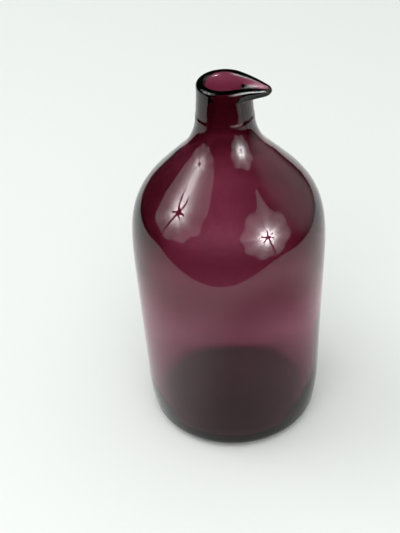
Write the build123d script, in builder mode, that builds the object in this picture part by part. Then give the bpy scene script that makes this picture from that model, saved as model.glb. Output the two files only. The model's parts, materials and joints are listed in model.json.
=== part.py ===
from build123d import *

# A hand-blown glass pouring bottle: one piece of glass, its lip drawn out into a beak.
# Millimetres, +Z up. The origin is the centre of the base and the beak points along +X.

import math
import os

# Outside of the body
rim_height = 220.0
body_radius = 55.0  # at its widest, where the wall runs into the shoulder
wall_lean = 1.9  # degrees by which the wall opens out on its way up
wall_top = 113.0
heel_radius = 9.2
heel_turn = 80.0  # degrees turned by the heel, before the slower curve of the low wall
low_wall_radius = 156.0
shoulder_start_radius = 202.0
shoulder_start_turn = 6.3
shoulder_radius = 40.3
shoulder_turn = 40.1
neck_radius = 15.9
neck_sweep_radius = 32.0  # the hollow curve from the shoulder into the neck
lip_radius = 14.8  # the neck is drawn in a little towards the lip
lip_height = 10.0  # how much of the top has this radius

# Thickness of the glass
wall = 2.6
floor_height = 5.5  # top of the glass inside the base
inner_heel_radius = 7.0
bore_radius = 8.5

# Hollow under the base, which leaves a ring to stand on
hollow_radius = 33.0
hollow_height = 2.2

# The beak, and the rounding of the lip
beak_reach = 25.5  # from the axis to the tip
beak_depth = 7.0  # from the rim down to its underside
beak_tip_radius = 4.0
beak_underside_round = 1.6
channel_depth = 4.8
channel_tip_radius = 1.4
droop = 3.2  # how far the lip falls towards the tip
droop_start = 6.0  # where it starts to fall, from the axis
lip_round = 1.2

clear = 1.0  # how far a cutting shape passes beyond the glass

lean = math.radians(wall_lean)
turn = math.radians(heel_turn)
neck_turn = shoulder_start_turn + shoulder_turn - wall_lean  # degrees from the slope to upright
tip_centre = beak_reach - beak_tip_radius


def side_of_glass(inset, floor, heel, neck):
    """Draws one face of the glass from its floor to the foot of the neck, and gives its two ends.

    The outer face has no inset, and the inner one is inset by the wall.
    """
    low = low_wall_radius - inset
    start_curve = shoulder_start_radius - inset
    low_rise = heel * (1 - math.cos(turn)) + low * (math.cos(turn) - math.sin(lean))
    wall_rise = wall_top + inset * math.sin(lean) - floor - low_rise
    opening_out = (
        heel * math.sin(turn)
        + low * (math.cos(lean) - math.sin(turn))
        + wall_rise * math.tan(lean)
        + start_curve * (1 - math.cos(lean))
    )
    start = (body_radius - inset - opening_out, floor)
    heel_arc = JernArc(start, (1, 0), heel, heel_turn)
    low_arc = JernArc(heel_arc @ 1, heel_arc % 1, low, 90 - wall_lean - heel_turn)
    upright = PolarLine(low_arc @ 1, wall_rise / math.cos(lean), direction=low_arc % 1)
    shoulder_start = JernArc(upright @ 1, upright % 1, start_curve, shoulder_start_turn)
    shoulder_top = shoulder_start @ 1
    shoulder = JernArc(
        shoulder_top, shoulder_start % 1, shoulder_radius - inset, shoulder_turn
    )
    inward = (shoulder @ 1).X - neck
    sweep_in = neck_sweep_radius * (1 - math.cos(math.radians(neck_turn)))
    slope_length = (inward - sweep_in) / math.sin(math.radians(neck_turn))
    slope = PolarLine(shoulder @ 1, slope_length, direction=shoulder % 1)
    sweep_arc = JernArc(slope @ 1, slope % 1, neck_sweep_radius, -neck_turn)
    return start, sweep_arc @ 1


def lip_outline(round_radius, tip_radius):
    """Draws the drop-shaped outline of the mouth: a circle pulled out to a small tip."""
    Circle(round_radius)
    with Locations((tip_centre, 0)):
        Circle(tip_radius)
    make_hull()


with BuildPart() as glass_bottle:
    # The outside, turned about the axis
    with BuildSketch(Plane.XZ):
        with BuildLine():
            foot, neck_start = side_of_glass(0, 0, heel_radius, neck_radius)
            arch_radius = (hollow_radius**2 + hollow_height**2) / (2 * hollow_height)
            arch_middle = hollow_radius / 2
            arch_fall = arch_radius - math.sqrt(arch_radius**2 - arch_middle**2)
            ThreePointArc(
                (0, hollow_height), (arch_middle, hollow_height - arch_fall), (hollow_radius, 0)
            )
            Line((hollow_radius, 0), foot)
            Polyline(
                neck_start, (lip_radius, rim_height - lip_height), (lip_radius, rim_height),
                (0, rim_height), (0, hollow_height),
            )
        make_face()
    revolve(axis=Axis.Z)

    # The glass pulled out to form the beak, rounded underneath
    with BuildSketch(Plane.XY.offset(rim_height - beak_depth)):
        lip_outline(lip_radius, beak_tip_radius)
    extrude(amount=beak_depth)
    underside = edges().filter_by_position(
        Axis.Z, rim_height - beak_depth, rim_height - beak_depth
    )
    fillet(underside.filter_by(lambda edge: edge.center().X > lip_radius / 2), beak_underside_round)

    # The hollow inside
    with BuildSketch(Plane.XZ):
        with BuildLine():
            inner_foot, bore_start = side_of_glass(
                wall, floor_height, inner_heel_radius, bore_radius
            )
            Polyline(
                bore_start, (bore_radius, rim_height), (0, rim_height), (0, floor_height),
                inner_foot,
            )
        make_face()
    revolve(axis=Axis.Z, mode=Mode.SUBTRACT)

    # The channel along the beak
    with BuildSketch(Plane.XY.offset(rim_height - channel_depth)):
        lip_outline(bore_radius, channel_tip_radius)
    extrude(amount=channel_depth, mode=Mode.SUBTRACT)

    # The lip falls away in one curve towards the tip
    with BuildSketch(Plane.XZ):
        with BuildLine():
            run = beak_reach - droop_start
            fall_radius = (run**2 + droop**2) / (2 * droop)
            fall = JernArc(
                (droop_start, rim_height), (1, 0), fall_radius,
                -math.degrees(math.asin((run + clear) / fall_radius)),
            )
            Polyline(
                fall @ 1, ((fall @ 1).X, rim_height + clear), (droop_start, rim_height + clear),
                (droop_start, rim_height),
            )
        make_face()
    extrude(amount=body_radius, both=True, mode=Mode.SUBTRACT)

    # The lip is melted round, inside and out
    lowest_lip = rim_height - droop
    lip_faces = faces().filter_by(lambda face: face.normal_at().Z > 0.8 and face.center().Z > lowest_lip)
    lip_edges = lip_faces.edges().filter_by(lambda edge: abs(edge.center().X - droop_start) > 0.1)
    fillet(lip_edges, lip_round)

os.makedirs("parts", exist_ok=True)
glass_bottle.part.label = "glass_bottle"
export_step(glass_bottle.part, "parts/glass_bottle.step")
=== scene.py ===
import json
import math

import bpy
import numpy as np
from mathutils import Matrix, Vector


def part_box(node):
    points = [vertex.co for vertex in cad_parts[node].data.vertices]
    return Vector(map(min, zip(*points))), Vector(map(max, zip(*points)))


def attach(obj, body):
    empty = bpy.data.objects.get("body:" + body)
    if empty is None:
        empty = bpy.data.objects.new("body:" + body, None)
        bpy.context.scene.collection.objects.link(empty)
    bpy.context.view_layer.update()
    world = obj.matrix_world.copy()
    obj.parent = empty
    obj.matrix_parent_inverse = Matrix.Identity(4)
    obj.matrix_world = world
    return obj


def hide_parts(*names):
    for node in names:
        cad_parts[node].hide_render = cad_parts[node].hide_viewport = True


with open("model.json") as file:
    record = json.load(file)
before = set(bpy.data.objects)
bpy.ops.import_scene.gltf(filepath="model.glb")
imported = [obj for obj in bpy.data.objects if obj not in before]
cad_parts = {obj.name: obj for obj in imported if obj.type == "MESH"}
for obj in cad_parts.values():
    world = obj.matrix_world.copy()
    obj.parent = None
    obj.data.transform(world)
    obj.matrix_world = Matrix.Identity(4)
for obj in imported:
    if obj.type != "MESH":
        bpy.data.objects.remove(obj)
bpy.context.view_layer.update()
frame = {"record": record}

mm = 0.001


def makeMesh(name, points, faces, smooth=True):
    # points in metres, faces as rows of point numbers; returns a new object at the origin
    mesh = bpy.data.meshes.new(name)
    mesh.from_pydata(points, [], faces)
    mesh.validate()
    mesh.polygons.foreach_set("use_smooth", [smooth] * len(mesh.polygons))
    mesh.update()
    piece = bpy.data.objects.new(name, mesh)
    bpy.context.scene.collection.objects.link(piece)
    return piece


def gridFaces(rows, columns):
    # quads of a grid that closes on itself from its last column to its first
    row, column = np.meshgrid(np.arange(rows - 1), np.arange(columns), indexing="ij")
    following = (column + 1) % columns
    corners = [row * columns + column, row * columns + following,
               (row + 1) * columns + following, (row + 1) * columns + column]
    return np.stack([corner.ravel() for corner in corners], 1)


def ease(low, high, value):
    # 0 below low, 1 above high, and a smooth S between them
    share = np.clip((value - low) / (high - low), 0, 1)
    return share * share * (3 - 2 * share)


class Value:
    # a shader socket that can be used in sums
    def __init__(self, graph, socket):
        self.graph, self.socket = graph, socket

    def sum(self, operation, other):
        return self.graph.add("ShaderNodeMath", dict(operation=operation), {0: self, 1: other})

    def __add__(self, other):
        return self.sum("ADD", other)

    def __mul__(self, other):
        return self.sum("MULTIPLY", other)

    def __pow__(self, other):
        return self.sum("POWER", other)

    __radd__, __rmul__ = __add__, __mul__


class Graph:
    # the nodes of one material
    def __init__(self, name):
        self.material = bpy.data.materials.new(name)
        self.material.use_nodes = True
        self.tree = self.material.node_tree
        self.tree.nodes.clear()
        self.output = self.tree.nodes.new("ShaderNodeOutputMaterial")

    def add(self, kind, settings=None, inputs=None, out=0):
        # a node of this kind with its settings, then the values or links of its sockets
        node = self.tree.nodes.new(kind)
        for key, value in (settings or {}).items():
            setattr(node, key, value)
        for key, value in (inputs or {}).items():
            self.plug(node.inputs[key], value)
        return Value(self, node.outputs[out])

    def plug(self, socket, value):
        if isinstance(value, Value):
            self.tree.links.new(value.socket, socket)
        else:
            socket.default_value = value

    def finish(self, surface, volume=None):
        self.plug(self.output.inputs["Surface"], surface)
        if volume is not None:
            self.plug(self.output.inputs["Volume"], volume)
        return self.material


def smoothRange(g, value, start, end, low, high):
    # low at start, high at end, and a smooth S between them
    return g.add("ShaderNodeMapRange", dict(interpolation_type="SMOOTHSTEP"), {
        "Value": value, "From Min": start, "From Max": end, "To Min": low, "To Max": high})


camera = dict(
    azimuth=12.0,  # degrees round from the front, towards the beak
    distance=0.5376,
    height=0.5016,
    aimAside=-0.0173,  # what it looks at, aside from the axis and above the floor
    aimHeight=0.1002,
    roll=-2.98,
    lens=78.1,
)


def aroundAxis(aside, back, up, azimuth=camera["azimuth"]):
    # a place given to the right of, in front of and above the base, as the camera sees it
    turn = math.radians(azimuth)
    return Vector((aside * math.cos(turn) + back * math.sin(turn),
                   aside * math.sin(turn) - back * math.cos(turn), up))


def addCamera():
    data = bpy.data.cameras.new("camera")
    data.lens, data.sensor_width = camera["lens"], 36
    data.clip_start, data.clip_end = 0.01, 50
    place = aroundAxis(0, camera["distance"], camera["height"])
    ahead = (aroundAxis(camera["aimAside"], 0, camera["aimHeight"]) - place).normalized()
    right = ahead.cross(Vector((0, 0, 1))).normalized()
    right.rotate(Matrix.Rotation(-math.radians(camera["roll"]), 3, ahead))
    up = right.cross(ahead)
    turned = Matrix((right, up, -ahead)).transposed().to_4x4()
    turned.translation = place
    eye = bpy.data.objects.new("camera", data)
    eye.matrix_world = turned
    bpy.context.scene.collection.objects.link(eye)
    bpy.context.scene.camera = eye


addCamera()
print("camera placed")


# the bottle is one piece of glass, with all its sizes in millimetres
high = np.array(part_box("glass_bottle")[1]) / mm
boreMount = next(m for m in frame["record"]["mounts"] if m["name"] == "neck_bore")

bottle = dict(
    rimHeight=high[2],
    bodyRadius=min(high[0], high[1]),
    boreRadius=boreMount["dims"]["r_mm"],
    neckRadius=15.9,
    lipRadius=14.8,  # the neck draws in to this
    lipTaper=(194.0, 217.0),  # between these heights
    mouthRadius=9.6,  # the bore opens out to this at the lip
    mouthTaper=(210.0, 218.0),
    floorRise=3.5,  # how much thicker the glass of the floor is at its middle
    wallLean=1.9,
    wallTop=113.0,
    heelRadius=9.2,
    heelTurn=80.0,
    lowWallRadius=156.0,
    shoulderStartRadius=202.0,
    shoulderStartTurn=6.3,
    shoulderRadius=40.3,
    shoulderTurn=40.1,
    neckSweepRadius=32.0,
    softened=(90.0, 172.0, 6.5),  # from this height to this one, over about this distance
    wall=2.6,
    floorHeight=5.5,
    innerHeelRadius=7.0,
    hollowRadius=33.0,
    hollowHeight=2.2,
    columns=336,
    beakColumns=0.62,  # how much closer the columns stand at the beak, from 0 to 1
)

beak = dict(
    tipCentre=21.4,  # from the axis
    outerTip=3.9,  # radius of the tip seen from above, outside and inside
    innerTip=1.5,
    outerStart=212.6, outerEnd=217.4,  # heights between which the outside is drawn out
    innerStart=206.0, innerEnd=218.4,
    channelBend=2.2,  # a higher power makes the channel start more gently
    droop=3.0,
    droopStart=6.0,  # distance from the axis where the lip starts to fall
)


def arcPoints(start, heading, radius, turn, step=1.6):
    # an arc that leaves start at this heading and turns left, or right if turn is negative
    count = max(int(abs(turn) * radius / step), 6)
    side = math.copysign(radius, turn)
    angle = heading + np.linspace(0, turn, count + 1)[1:]
    across = start[0] + side * (np.sin(angle) - math.sin(heading))
    up = start[1] - side * (np.cos(angle) - math.cos(heading))
    return np.stack([across, up], 1), heading + turn


def straightPoints(start, end, step=2.4):
    # evenly spaced points from start to end, without the first
    count = max(int(np.hypot(*(np.subtract(end, start))) / step), 1)
    share = np.linspace(0, 1, count + 1)[1:, None]
    return np.asarray(start) * (1 - share) + np.asarray(end) * share


def sideOfGlass(b, inset, floor, heel, neck, lip, taper, top):
    # one face of the glass from its floor to the lip: heel, low wall, wall, shoulder, slope, neck
    lean, turn = math.radians(b["wallLean"]), math.radians(b["heelTurn"])
    lowWall, shoulderStart = b["lowWallRadius"] - inset, b["shoulderStartRadius"] - inset
    lowRise = heel * (1 - math.cos(turn)) + lowWall * (math.cos(turn) - math.sin(lean))
    rise = b["wallTop"] + inset * math.sin(lean) - floor - lowRise
    spread = (heel * math.sin(turn) + lowWall * (math.cos(lean) - math.sin(turn))
              + rise * math.tan(lean) + shoulderStart * (1 - math.cos(lean)))
    points = [np.array([[b["bodyRadius"] - inset - spread, floor]])]
    heading = 0.0
    for radius, bend in ((heel, turn), (lowWall, math.pi / 2 - lean - turn)):
        run, heading = arcPoints(points[-1][-1], heading, radius, bend)
        points.append(run)
    wallEnd = points[-1][-1] + np.array([rise * math.tan(lean), rise])
    points.append(straightPoints(points[-1][-1], wallEnd))
    shoulderTurn = math.radians(b["shoulderTurn"])
    for radius, bend in ((shoulderStart, math.radians(b["shoulderStartTurn"])),
                         (b["shoulderRadius"] - inset, shoulderTurn)):
        run, heading = arcPoints(points[-1][-1], heading, radius, bend)
        points.append(run)
    back = heading - math.pi / 2
    inward = points[-1][-1][0] - neck - b["neckSweepRadius"] * (1 - math.cos(back))
    slopeEnd = points[-1][-1] + inward * np.array([-1, 1 / math.tan(back)])
    points.append(straightPoints(points[-1][-1], slopeEnd, 1.6))
    run, heading = arcPoints(slopeEnd, heading, b["neckSweepRadius"], -back)
    points.append(run)
    upNeck = straightPoints(run[-1], (neck, top), 0.45)
    upNeck[:, 0] += (lip - neck) * ease(*taper, upNeck[:, 1])
    points.append(upNeck)
    return soften(np.concatenate(points), *b["softened"])


def soften(points, low, high, reach):
    # evens out sudden changes of curvature between two heights: each point becomes the mean of
    # those around it, counted by how near they are along the outline
    along = np.concatenate([[0], np.cumsum(np.hypot(*np.diff(points, axis=0).T))])
    weight = np.exp(-0.5 * ((along[:, None] - along) / reach) ** 2) * np.gradient(along)
    mean = weight @ points / weight.sum(1, keepdims=True)
    share = (ease(low, low + 15, points[:, 1]) * (1 - ease(high - 15, high, points[:, 1])))[:, None]
    return points * (1 - share) + mean * share


def bottleProfile(b):
    # the whole outline from under the base, up the outside, over the lip and down inside,
    # with a mark for each point: 0 on the outside and 1 on the inside
    beadRadius = (b["lipRadius"] - b["mouthRadius"]) / 2
    lipBase = b["rimHeight"] - beadRadius
    outside = sideOfGlass(b, 0, 0, b["heelRadius"], b["neckRadius"], b["lipRadius"],
                          b["lipTaper"], lipBase)
    inside = sideOfGlass(b, b["wall"], b["floorHeight"], b["innerHeelRadius"],
                         b["boreRadius"], b["mouthRadius"], b["mouthTaper"], lipBase)
    across = np.linspace(0, b["hollowRadius"], 16)[1:]
    hollow = np.stack([across, b["hollowHeight"] * (1 - (across / b["hollowRadius"]) ** 2)], 1)
    ring = straightPoints(hollow[-1], outside[0], 2.0)[:-1]
    bead, _ = arcPoints(outside[-1], math.pi / 2, beadRadius, math.pi, 0.3)
    floor = straightPoints(inside[0], (0, b["floorHeight"]), 2.6)[:-1]
    floor[:, 1] += b["floorRise"] * ease(0, 1, 1 - floor[:, 0] / inside[0][0])
    rows = np.concatenate([hollow, ring, outside, bead, inside[::-1][1:], floor])
    outerRows = len(hollow) + len(ring) + len(outside) + len(bead) // 2
    return rows, (np.arange(len(rows)) >= outerRows).astype(float)


def drawBeak(x, y, z, inner, b, k):
    # the lip is drawn out along +X. Seen from above, each circle of it becomes the circle and a
    # small one at the tip with straight lines between them. The change grows with height: as a
    # quarter of an ellipse outside, for a flat underside and a round nose, and slowly inside.
    # The glass is thinner at the tip, and it falls away towards it
    radius, angle = np.hypot(x, y), np.arctan2(y, x)
    lipWidth = b["lipRadius"] - b["mouthRadius"]
    tip = k["innerTip"] + (k["outerTip"] - k["innerTip"]) * (radius - b["mouthRadius"]) / lipWidth
    tip = np.clip(tip, 1.0, k["outerTip"])
    slant = np.arccos(np.clip((radius - tip) / k["tipCentre"], -1, 0.98))
    line = k["tipCentre"] * np.sin(slant)
    along = np.abs(angle) / slant * (tip * slant + line)
    bend = np.minimum(along / tip, slant)
    rest = np.maximum(along - tip * slant, 0)
    outX = k["tipCentre"] + tip * np.cos(bend) - rest * np.sin(slant)
    outY = np.sign(y) * (tip * np.sin(bend) + rest * np.cos(slant))
    front = (np.abs(angle) < slant) & (radius < k["tipCentre"])
    outX, outY = np.where(front, outX, x), np.where(front, outY, y)
    near = np.clip((outX - x) / np.maximum(k["tipCentre"] + tip - radius, 1), 0, 1)
    start = k["outerStart"] + (k["innerStart"] - k["outerStart"]) * inner
    end = k["outerEnd"] + (k["innerEnd"] - k["outerEnd"]) * inner
    rise = np.clip((z - start) / (end - start), 0, 1)
    underside = np.sqrt(1 - (1 - rise) ** 2) * ease(0, 0.25, rise)
    share = np.where(inner > 0.5, ease(start, end, z) ** k["channelBend"], underside)
    lipBase = b["rimHeight"] - lipWidth / 2
    shrink = (1 - (k["outerTip"] - k["innerTip"]) / lipWidth) * near
    z = z + shrink * np.where(z > lipBase, b["rimHeight"] - z, lipWidth / 2 * ease(lipBase - 6, lipBase, z))
    x, y = x + (outX - x) * share, y + (outY - y) * share
    reach = k["tipCentre"] + k["outerTip"]
    fall = np.clip((x - k["droopStart"]) / (reach - k["droopStart"]), 0, 1.1) ** 2
    return x, y, z - k["droop"] * fall * share


uneven = dict(
    # how far the inner face moves outwards, and the heights between which this comes and goes
    swells=(
        (0.6, 6, 28, 75, 105),  # thin low down
        (-1.5, 82, 116, 130, 152),  # thick where the shoulder starts
        (-1.5, 122, 142, 156, 186),
        (0.7, 182, 194, 202, 211),  # and a little thinner at the foot of the neck
    ),
    slowInside=0.16, fineInside=0.07,
    slowOutside=0.05,  # these only go in, so that the glass keeps to its size
    ribsInside=0.06, ribsOutside=0.012,  # upright waves in the neck
    wavesBegin=(12, 40), wavesEnd=(165, 200),
    ribsBegin=(176, 196), ribsEnd=(208, 214),
)


def handmade(x, y, z, inner, u):
    # blown glass is never quite round or even. The radius changes by the swells and by sums of
    # sines of the angle round the axis, which turn slowly with height
    radius, angle = np.hypot(x, y), np.arctan2(y, x)
    swell = sum(amount * ease(begin, full, z) * (1 - ease(fade, end, z))
                for amount, begin, full, fade, end in u["swells"])
    slow = np.sin(2 * angle + 0.8 + z / 47) + 0.6 * np.sin(3 * angle - 1.1 - z / 31)
    fine = 0.5 * np.sin(5 * angle + 2.0 + z / 19) + 0.35 * np.sin(z / 9.5 + 2 * angle)
    ribs = np.sin(9 * angle + 0.5) + 0.6 * np.sin(14 * angle + 2.1)
    onBody = ease(*u["wavesBegin"], z) * (1 - ease(*u["wavesEnd"], z))
    inNeck = ease(*u["ribsBegin"], z) * (1 - ease(*u["ribsEnd"], z))
    inside = onBody * (u["slowInside"] * slow + u["fineInside"] * fine) + swell
    inside = inside + u["ribsInside"] * inNeck * ribs
    outside = -u["slowOutside"] * onBody * (2 + slow) - u["ribsOutside"] * inNeck * (2 + ribs)
    change = np.where(inner > 0.5, inside, outside)
    share = np.where(radius > 1, (radius + change) / np.maximum(radius, 1), 1)
    return x * share, y * share, z


def bottleShape(b, k, u):
    # the outline carried round the axis, then made uneven and drawn out at the lip
    rows, inner = bottleProfile(b)
    turn = np.linspace(0, 2 * math.pi, b["columns"], endpoint=False)
    angle = turn - b["beakColumns"] * np.sin(turn)
    x = rows[:, :1] * np.cos(angle)
    y = rows[:, :1] * np.sin(angle)
    z = np.repeat(rows[:, 1:], len(angle), 1)
    inner = np.repeat(inner[:, None], len(angle), 1)
    x, y, z = handmade(x, y, z, inner, u)
    x, y, z = drawBeak(x, y, z, inner, b, k)
    return np.stack([x, y, z], 2)


def makeBottle(b, k, u):
    # the shape as a mesh, closed under the base and on the floor inside by a point at the axis
    grid = bottleShape(b, k, u)
    rows, columns = grid.shape[:2]
    centres = np.array([[0, 0, b["hollowHeight"]], [0, 0, b["floorHeight"] + b["floorRise"]]])
    points = np.concatenate([grid.reshape(-1, 3), centres]) * mm
    under, floor = rows * columns, rows * columns + 1
    ring = np.arange(columns)
    after = (ring + 1) % columns
    last = (rows - 1) * columns
    faces = gridFaces(rows, columns).tolist()
    faces += np.stack([np.full(columns, under), after, ring], 1).tolist()
    faces += np.stack([np.full(columns, floor), last + ring, last + after], 1).tolist()
    return makeMesh("glass_bottle_blown", points.tolist(), faces)


glassLook = dict(
    colour=(0.56, 0.075, 0.275), density=600.0,  # what light loses for each metre of glass
    ior=1.5,
    rippleScale=26.0, rippleStrength=0.25, rippleDistance=0.0004,
    filmScale=60.0, filmTint=(0.965, 0.955, 0.96),
    scuffScale=900.0, scuffHeight=0.0004,  # only the ring it stands on is scuffed
    roughness=0.012, filmRoughness=0.02, scuffRoughness=0.3,
)


def amethystGlass(k):
    # clear on its surface and coloured all through, so thick glass is darker
    g = Graph("amethyst_glass")
    place = g.add("ShaderNodeTexCoord", out=3)
    ripple = g.add("ShaderNodeTexNoise", None,
                   {"Vector": place, "Scale": k["rippleScale"], "Detail": 2.0, "Roughness": 0.45})
    film = g.add("ShaderNodeTexNoise", None,
                 {"Vector": place, "Scale": k["filmScale"], "Detail": 5.0, "Roughness": 0.6})
    scuffs = g.add("ShaderNodeTexNoise", None,
                   {"Vector": place, "Scale": k["scuffScale"], "Detail": 3.0, "Roughness": 0.7})
    height = g.add("ShaderNodeSeparateXYZ", None, {"Vector": place}, out=2)
    foot = smoothRange(g, height, k["scuffHeight"], 0.0, 0.0, 1.0)
    roughness = k["roughness"] + k["filmRoughness"] * film ** 3 + k["scuffRoughness"] * foot * scuffs
    bump = g.add("ShaderNodeBump", None,
                 {"Strength": k["rippleStrength"], "Distance": k["rippleDistance"], "Height": ripple})
    tint = g.add("ShaderNodeMix", dict(data_type="RGBA"),
                 {"Factor": film, "A": (1.0, 1.0, 1.0, 1.0), "B": (*k["filmTint"], 1.0)}, out=2)
    glass = g.add("ShaderNodeBsdfPrincipled", None, {
        "Base Color": tint, "Roughness": roughness, "Normal": bump,
        "IOR": k["ior"], "Transmission Weight": 1.0})
    colour = g.add("ShaderNodeVolumeAbsorption", None,
                   {"Color": (*k["colour"], 1.0), "Density": k["density"]})
    return g.finish(glass, colour)


glassBottle = makeBottle(bottle, beak, uneven)
glassBottle.data.materials.append(amethystGlass(glassLook))
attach(glassBottle, "root")
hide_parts("glass_bottle")
print("bottle made:", len(glassBottle.data.polygons), "faces")


# the studio: a pale floor, soft light, and the room that the glass mirrors
studio = dict(
    floorColour=(0.86, 0.885, 0.865),
    floorHalf=6.0,
    worldColour=(0.98, 1.0, 0.985),
    worldStrength=0.72,
)

table = dict(
    turned=-13.0,  # degrees, against the camera's view
    front=0.25, back=2.5, left=-0.70, right=0.54,  # metres from the bottle's axis
    corner=0.16,
    shadeAside=0.07, shadeFront=0.085,  # the middle of the painted shadow before the bottle
    shadeGlow=0.46, openGlow=0.93,
    shadeReach=(0.07, 0.17),
    footShadowGlow=0.85, footShadowReach=(0.042, 0.056),  # and a painted contact shadow darkens it where it meets the foot
)

room = dict(
    radius=4.0, rows=24, columns=48,
    glow=0.02,
    wallAzimuth=112, wallElevation=22, wallGlow=0.6, wallInner=12, wallOuter=42,
)

# what both umbrellas share, in metres
umbrellaMake = dict(
    rings=14, columns=64, middleHole=0.02,
    scallop=0.12,  # how far the edge comes in between its ribs
    ribGlow=0.15,
    poleHalf=0.026, armHalf=0.02,
    armTurns=(20, 75, 150, 215, 330),
    standNearer=0.1, headNearer=0.11,  # how far they stand before the cloth
    standGlow=0.01,
)

# places are given as degrees round from the camera's side and degrees up
umbrellas = [
    dict(name="right_umbrella", azimuth=46, elevation=22, distance=1.5, radius=0.88, turned=22,
         core=36.0, coreReach=0.26, middle=3.4, middleReach=0.65, edge=0.8,
         pole=(0.22, -1.2), head=0.075, arm=0.2),
    dict(name="left_umbrella", azimuth=-77, elevation=38, distance=1.5, radius=0.95, turned=0,
         core=14.5, coreReach=0.27, middle=1.3, middleReach=0.6, edge=0.9,
         pole=(-0.2, -1.2), head=0.07, arm=0.19),
]

lamps = [
    dict(name="left_lamp", azimuth=-100, elevation=42, distance=2.0, size=1.4, power=9.0),
    dict(name="front_lamp", azimuth=-8, elevation=55, distance=1.4, size=1.1, power=7.4),
]


def direction(azimuth, elevation):
    turn, tilt = math.radians(azimuth), math.radians(elevation)
    return aroundAxis(math.sin(turn) * math.cos(tilt), math.cos(turn) * math.cos(tilt), math.sin(tilt))


def stagePiece(name, points, faces, material, mirrored=True):
    # a piece of the studio; a mirrored one is seen in reflections and nowhere else
    piece = makeMesh(name, [tuple(point) for point in points], faces, smooth=False)
    piece.data.materials.append(material)
    allButMirror = ("camera", "diffuse", "transmission", "volume_scatter", "shadow")
    for ray in allButMirror if mirrored else ("glossy",):
        setattr(piece, "visible_" + ray, False)
    return piece


def glowing(g, strength):
    colour = g.add("ShaderNodeCombineColor", None, {0: strength, 1: strength, 2: strength})
    return g.finish(g.add("ShaderNodeEmission", None, {"Color": colour, "Strength": 1.0}))


def addFloor(s):
    g = Graph("pale_floor")
    surface = g.add("ShaderNodeBsdfPrincipled", None,
                    {"Base Color": (*s["floorColour"], 1), "Roughness": 0.9, "Specular IOR Level": 0.1})
    half, under = s["floorHalf"], -0.0001
    points = [(-half, -half, under), (half, -half, under), (half, half, under), (-half, half, under)]
    stagePiece("pale_floor", points, [(0, 1, 2, 3)], g.finish(surface), mirrored=False)


def addMirroredTable(t):
    # a painted reflection of a table top with rounded corners, glowing as if it were lit; it lights nothing
    # and shows only in the glass
    g = Graph("table_glow")
    place = g.add("ShaderNodeTexCoord", out=3)
    shade = g.add("ShaderNodeVectorMath", dict(operation="DISTANCE"),
                  {0: place, 1: aroundAxis(t["shadeAside"], t["shadeFront"], 0)}, out=1)
    foot = g.add("ShaderNodeVectorMath", dict(operation="LENGTH"), {0: place}, out=1)
    # painted shadow: the glow falls from openGlow to shadeGlow near the place before the bottle
    glow = smoothRange(g, shade, *t["shadeReach"], t["shadeGlow"], t["openGlow"])
    # painted contact shadow: the glow drops close to the axis, where the foot meets the table
    glow = glow * smoothRange(g, foot, *t["footShadowReach"], t["footShadowGlow"], 1.0)
    corner, outline = t["corner"], []
    for aside, back, start in ((t["right"], -t["back"], 0), (t["left"], -t["back"], 90),
                               (t["left"], t["front"], 180), (t["right"], t["front"], 270)):
        middle = (aside - math.copysign(corner, aside), back - math.copysign(corner, back))
        for angle in np.radians(start + np.linspace(0, 90, 13)):
            outline.append((middle[0] + corner * math.cos(angle), middle[1] - corner * math.sin(angle)))
    azimuth = camera["azimuth"] + t["turned"]
    points = [aroundAxis(aside, back, -0.0002, azimuth) for aside, back in outline]
    stagePiece("mirrored_table", points, [tuple(range(len(points)))], glowing(g, glow))


def addRoom(r):
    # a painted reflection of the room: a glowing shell seen only in reflections, dim, with one pale wall
    g = Graph("room_glow")
    place = g.add("ShaderNodeTexCoord", out=3)
    outward = g.add("ShaderNodeVectorMath", dict(operation="NORMALIZE"), {0: place})
    facing = g.add("ShaderNodeVectorMath", dict(operation="DOT_PRODUCT"),
                   {0: outward, 1: direction(r["wallAzimuth"], r["wallElevation"])}, out=1)
    wall = smoothRange(g, facing, math.cos(math.radians(r["wallOuter"])),
                       math.cos(math.radians(r["wallInner"])), 0.0, r["wallGlow"])
    rise = np.linspace(-math.pi / 2, math.pi / 2, r["rows"])[:, None]
    turn = np.linspace(0, 2 * math.pi, r["columns"], endpoint=False)
    points = r["radius"] * np.stack([np.cos(rise) * np.cos(turn), np.cos(rise) * np.sin(turn),
                                     np.sin(rise) * np.ones_like(turn)], 2).reshape(-1, 3)
    faces = gridFaces(r["rows"], r["columns"]).tolist()
    stagePiece("room_shell", points.tolist(), faces, glowing(g, wall + r["glow"]))


def facingBottle(u):
    # turns a place on an umbrella, across, along and nearer to the bottle, into one in the room
    out = direction(u["azimuth"], u["elevation"])
    right = Vector((0, 0, 1)).cross(out).normalized()
    up = out.cross(right)
    return lambda across, along, nearer=0.0: out * (u["distance"] - nearer) + right * across + up * along


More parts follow.
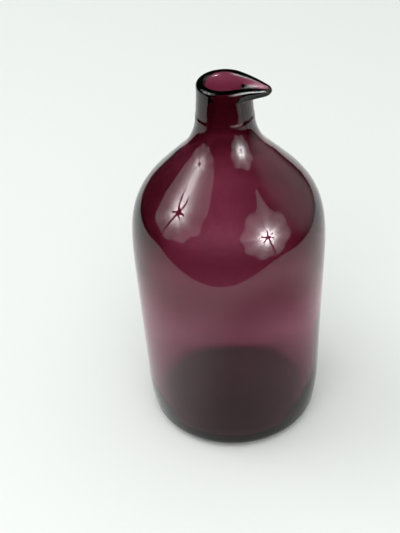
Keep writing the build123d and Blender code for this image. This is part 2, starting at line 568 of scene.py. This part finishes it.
def addUmbrella(u, m):
    # a painted reflection of a lit white umbrella with eight ribs, seen only in the glass and lighting
    # nothing: a disc whose edge comes in by a squared sine of the angle, with a glow that falls from its
    # middle as the sum of two bell curves; its bright core is a painted highlight
    place = facingBottle(u)
    away = np.linspace(m["middleHole"], 1, m["rings"])[:, None]
    angle = np.linspace(0, 2 * math.pi, m["columns"], endpoint=False)
    spoke = angle + math.radians(u["turned"])
    reach = u["radius"] * away * (1 - m["scallop"] * np.sin(4 * spoke) ** 2)
    across, along = reach * np.cos(angle), reach * np.sin(angle)
    points = [place(a, b) for a, b in zip(across.ravel(), along.ravel())]
    glow = (u["core"] * np.exp(-(away / u["coreReach"]) ** 2) + u["edge"]
            + u["middle"] * np.exp(-(away / u["middleReach"]) ** 2))
    glow = glow * (1 + m["ribGlow"] * np.cos(8 * spoke) * away)
    g = Graph(u["name"])
    strength = g.add("ShaderNodeAttribute", dict(attribute_name="glow"), out=2)
    faces = gridFaces(m["rings"], m["columns"]).tolist() + [tuple(range(m["columns"]))]
    cloth = stagePiece(u["name"], points, faces, glowing(g, strength))
    layer = cloth.data.attributes.new("glow", "FLOAT", "POINT")
    layer.data.foreach_set("value", glow.ravel())


def addStand(u, m):
    # a painted reflection of the dark pole, arms and head that hold the umbrella, flat and facing the
    # bottle, seen only in the glass
    place = facingBottle(u)
    bars = [(u["pole"], m["poleHalf"])]
    for turn in np.radians(m["armTurns"]):
        bars.append(((u["arm"] * math.cos(turn), u["arm"] * math.sin(turn)), m["armHalf"]))
    points, faces = [], []
    for end, half in bars:
        side = np.array([-end[1], end[0]]) * half / math.hypot(*end)
        faces.append(tuple(range(len(points), len(points) + 4)))
        points += [place(*corner, m["standNearer"]) for corner in (side, -side, end - side, end + side)]
    head = [place(u["head"] * math.cos(turn), u["head"] * math.sin(turn), m["headNearer"])
            for turn in np.linspace(0, 2 * math.pi, 10, endpoint=False)]
    faces.append(tuple(range(len(points), len(points) + len(head))))
    name = u["name"] + "_stand"
    stagePiece(name, points + head, faces, glowing(Graph(name), m["standGlow"]))


def addLamp(k):
    # a soft square light, which the glass does not mirror
    data = bpy.data.lights.new(k["name"], "AREA")
    data.shape, data.size, data.energy = "SQUARE", k["size"], k["power"]
    lamp = bpy.data.objects.new(k["name"], data)
    out = direction(k["azimuth"], k["elevation"])
    lamp.location = out * k["distance"]
    lamp.rotation_mode = "QUATERNION"
    lamp.rotation_quaternion = out.to_track_quat("Z", "Y")
    lamp.visible_glossy = False
    lamp.visible_camera = False
    bpy.context.scene.collection.objects.link(lamp)


def addWorld(s):
    world = bpy.data.worlds.new("pale_world")
    world.use_nodes = True
    back = world.node_tree.nodes["Background"]
    back.inputs["Color"].default_value = (*s["worldColour"], 1)
    back.inputs["Strength"].default_value = s["worldStrength"]
    bpy.context.scene.world = world


addFloor(studio)
addMirroredTable(table)
addRoom(room)
for umbrella in umbrellas:
    addUmbrella(umbrella, umbrellaMake)
    addStand(umbrella, umbrellaMake)
for lampSizes in lamps:
    addLamp(lampSizes)
addWorld(studio)
bpy.context.scene.view_settings.view_transform = "Standard"
print("studio made")
